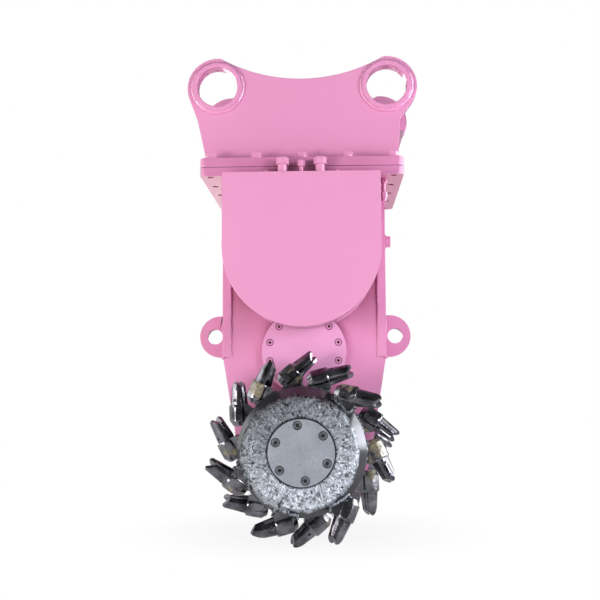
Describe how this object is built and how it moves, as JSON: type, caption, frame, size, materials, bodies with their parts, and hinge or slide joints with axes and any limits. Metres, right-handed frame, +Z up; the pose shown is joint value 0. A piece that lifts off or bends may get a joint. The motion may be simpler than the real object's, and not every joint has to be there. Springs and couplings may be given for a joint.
{
  "type": "excavator drum cutter",
  "caption": "Twin-drum rock cutter for an excavator stick: pin bracket, flanged gearcase with motor boxes, and a toothed drum on each side.",
  "frame": {"origin": "centre of the left pin bore, half way between the two ears", "axes": "+Y along the pins and the drum axis, +Z up towards the stick, +X from the left pin to the right pin"},
  "size_m": [0.6089, 0.757, 1.2649],
  "materials": {
    "housing_paint": "gloss enamel over weldments",
    "machined_steel": "turned and ground",
    "drum_casting": "cast, with a hardfaced end",
    "tooth_steel": "forged, black gloss with worn edges",
    "end_cover_steel": "milled plate",
    "screw_steel": "blackened",
    "motor_iron": "cast",
    "seal_rubber": "moulded"
  },
  "bodies": {
    "housing": {"ear_plate_front": "housing_paint", "ear_plate_rear": "housing_paint", "pin_bosses_front": "housing_paint", "pin_bosses_rear": "housing_paint", "cross_bars": "housing_paint", "bracket_base_plate": "housing_paint", "flange_bolts": "housing_paint", "housing_flange": "housing_paint", "side_plate_left": "housing_paint", "side_plate_right": "housing_paint", "lifting_lug_left": "housing_paint", "lifting_lug_right": "housing_paint", "motor_box_front": "housing_paint", "motor_box_rear": "housing_paint", "motor_cover_front": "housing_paint", "motor_cover_rear": "housing_paint", "port_caps": "housing_paint", "bleed_plug": "housing_paint", "manifold_bolts": "housing_paint", "breather_stack": "housing_paint", "level_plugs": "housing_paint", "gearcase_front": "housing_paint", "gearcase_rear": "housing_paint", "idler_cover_front": "housing_paint", "idler_cover_rear": "housing_paint", "bearing_carrier_front": "housing_paint", "bearing_carrier_rear": "housing_paint", "idler_cover_screws": "housing_paint", "carrier_screws": "screw_steel", "output_bearing_outer_races": "machined_steel", "output_shaft_seals": "seal_rubber", "hydraulic_motor_front": "motor_iron", "hydraulic_motor_rear": "motor_iron", "motor_screws": "screw_steel", "motor_bearing_outer_races": "machined_steel", "idler_pin": "machined_steel", "idler_bearing_inner_race": "machined_steel"},
    "rotor": {"output_bearing_inner_races": "machined_steel", "output_shaft": "machined_steel", "output_gear": "machined_steel", "output_gear_key": "machined_steel", "drum_keys": "machined_steel", "drum_front": "drum_casting", "drum_rear": "drum_casting", "shaft_lock_nuts": "screw_steel", "drum_end_cover_front": "end_cover_steel", "drum_end_cover_rear": "end_cover_steel", "end_cover_screws": "screw_steel", "tooth_holders_front": "tooth_steel", "tooth_holders_rear": "tooth_steel", "cutter_teeth_front": "tooth_steel", "cutter_teeth_rear": "tooth_steel", "tooth_pins": "screw_steel"},
    "idler": {"idler_gear": "machined_steel", "idler_bearing_outer_race": "machined_steel"},
    "motor_rotor": {"motor_shaft": "machined_steel", "motor_gear": "machined_steel", "motor_gear_key": "machined_steel", "motor_bearing_inner_races": "machined_steel"}
  },
  "joints": [
    {"name": "drum_spin", "type": "hinge", "parent": "housing", "child": "rotor", "pos_m": [0.2235, 0, -0.948], "axis": [0, 1, 0], "continuous": true},
    {"name": "idler_spin", "type": "hinge", "parent": "housing", "child": "idler", "pos_m": [0.2235, 0, -0.698], "axis": [0, 1, 0], "continuous": true},
    {"name": "motor_spin", "type": "hinge", "parent": "housing", "child": "motor_rotor", "pos_m": [0.2235, 0, -0.443], "axis": [0, 1, 0], "continuous": true}
  ],
  "couplings": [
    {"joint": "idler_spin", "follows": "drum_spin", "ratio": -1.1739},
    {"joint": "motor_spin", "follows": "drum_spin", "ratio": 0.96429}
  ]
}
